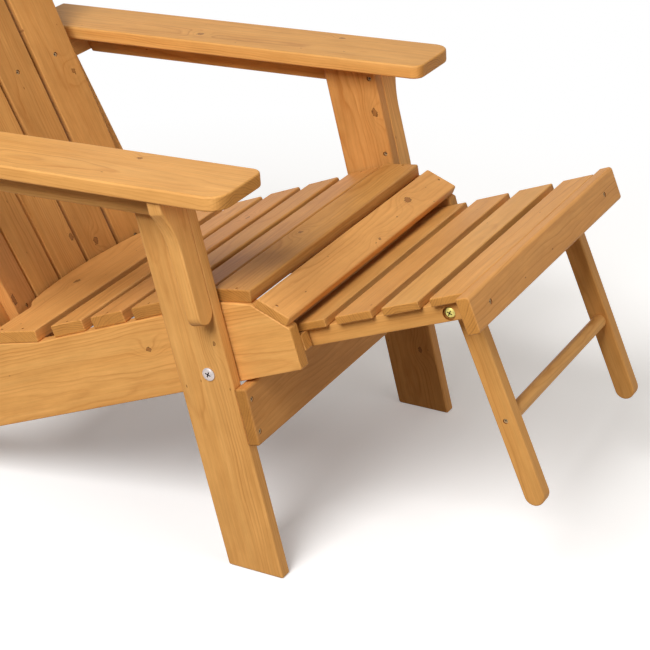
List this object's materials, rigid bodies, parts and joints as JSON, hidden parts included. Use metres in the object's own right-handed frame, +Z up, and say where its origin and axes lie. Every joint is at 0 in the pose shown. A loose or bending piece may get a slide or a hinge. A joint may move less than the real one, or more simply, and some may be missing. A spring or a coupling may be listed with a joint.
{
  "type": "adirondack chair",
  "caption": "Slatted adirondack chair in honey-stained softwood with a curved fan back, flat arms and a pull-out ottoman that stands on folding legs.",
  "frame": {"origin": "on the floor, under the middle of the chair's bounding box with the ottoman pulled out", "axes": "+X to the sitter's left, +Y towards the back, +Z up"},
  "size_m": [0.66, 1.208, 0.9262],
  "materials": {
    "stained_softwood": "satin",
    "zinc_steel": "satin",
    "yellow_zinc_steel": "satin"
  },
  "bodies": {
    "chair_frame": {"stringer_left": "stained_softwood", "stringer_right": "stained_softwood", "seat_slat_1": "stained_softwood", "seat_slat_2": "stained_softwood", "seat_slat_3": "stained_softwood", "seat_slat_4": "stained_softwood", "seat_slat_5": "stained_softwood", "seat_slat_6": "stained_softwood", "seat_slat_7": "stained_softwood", "front_leg_left": "stained_softwood", "front_leg_right": "stained_softwood", "apron": "stained_softwood", "arm_left": "stained_softwood", "arm_right": "stained_softwood", "arm_bracket_left": "stained_softwood", "arm_bracket_right": "stained_softwood", "arm_rail_left": "stained_softwood", "arm_rail_right": "stained_softwood", "back_slat_1": "stained_softwood", "back_slat_2": "stained_softwood", "back_slat_3": "stained_softwood", "back_slat_4": "stained_softwood", "back_slat_5": "stained_softwood", "back_stile_left": "stained_softwood", "back_stile_right": "stained_softwood", "back_lower_bar": "stained_softwood", "arm_bar": "stained_softwood", "back_upper_batten": "stained_softwood", "guide_cleat_left": "stained_softwood", "guide_cleat_right": "stained_softwood", "leg_bolts": "zinc_steel", "leg_washers": "zinc_steel", "tee_nuts": "zinc_steel", "seat_nails": "zinc_steel", "apron_screws": "zinc_steel", "bracket_screws": "zinc_steel", "back_screws": "zinc_steel"},
    "ottoman": {"ottoman_rail_left": "stained_softwood", "ottoman_rail_right": "stained_softwood", "ottoman_slat_1": "stained_softwood", "ottoman_slat_2": "stained_softwood", "ottoman_slat_3": "stained_softwood", "ottoman_slat_4": "stained_softwood", "ottoman_slat_5": "stained_softwood", "ottoman_rear_bar": "stained_softwood", "end_board": "stained_softwood", "end_board_screws": "zinc_steel", "pivot_bolts": "yellow_zinc_steel", "pivot_spacers": "yellow_zinc_steel", "pivot_nuts": "yellow_zinc_steel"},
    "ottoman_legs": {"ottoman_leg_left": "stained_softwood", "ottoman_leg_right": "stained_softwood", "leg_dowel": "stained_softwood", "dowel_screws": "zinc_steel"}
  },
  "joints": [
    {"name": "ottoman_slide", "type": "slide", "parent": "chair_frame", "child": "ottoman", "axis": [0, 0.9311, -0.3649], "range_m": [0, 0.24]},
    {"name": "ottoman_leg_fold", "type": "hinge", "parent": "ottoman", "child": "ottoman_legs", "pos_m": [0, -0.48394, 0.41992], "axis": [1, 0, 0], "range_deg": [0, 91]}
  ]
}
